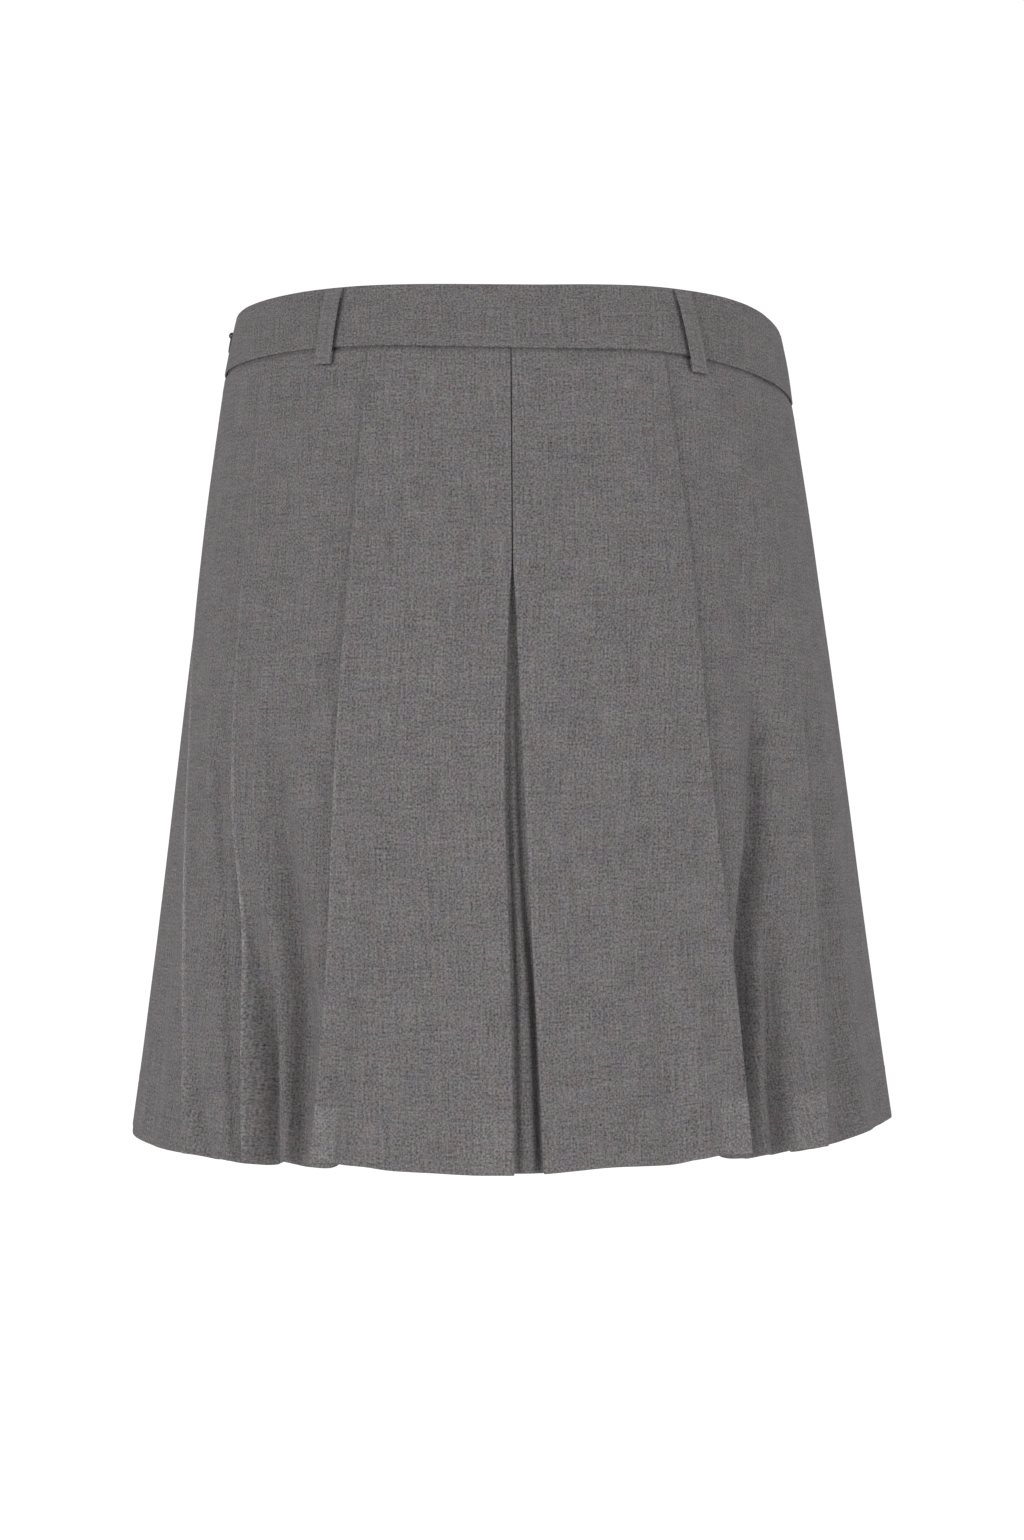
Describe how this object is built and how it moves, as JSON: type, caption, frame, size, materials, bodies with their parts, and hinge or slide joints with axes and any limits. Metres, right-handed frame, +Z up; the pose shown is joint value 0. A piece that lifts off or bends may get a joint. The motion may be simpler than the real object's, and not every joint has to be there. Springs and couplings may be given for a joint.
{
  "type": "pleated mini skirt",
  "caption": "Short pleated skirt in grey suiting with a fitted waistband, belt loops, knife pleats and a side zip, in its worn shape.",
  "frame": {"origin": "middle of the waistband opening, halfway up the band, where a waist holds the skirt", "axes": "+Z up out of the waist, -Y out of the back of the skirt, +Y out of its front, +X to the wearer's right side seam"},
  "size_m": [0.3731, 0.2988, 0.4],
  "materials": {
    "grey_suiting": "matt twill",
    "grey_suiting_band": "matt twill",
    "grey_suiting_loops": "matt twill",
    "zip_tape_grey": "matt knitted tape",
    "zip_metal": "dark lacquer"
  },
  "bodies": {
    "garment": {"skirt_back": "grey_suiting", "skirt_front": "grey_suiting", "waistband_back": "grey_suiting_band", "waistband_front": "grey_suiting_band", "belt_loop_back_left": "grey_suiting_loops", "belt_loop_back_right": "grey_suiting_loops", "belt_loop_front_left": "grey_suiting_loops", "belt_loop_front_right": "grey_suiting_loops", "zip_tape_back": "zip_tape_grey", "zip_tape_front": "zip_tape_grey", "zip_slider": "zip_metal"},
    "zip_pull": {"zip_pull": "zip_metal"}
  },
  "joints": [
    {"name": "zip_pull_swing", "type": "hinge", "parent": "garment", "child": "zip_pull", "pos_m": [-0.13772, 0, 0.01151], "axis": [0, 1, 0], "range_deg": [0, 165]}
  ]
}
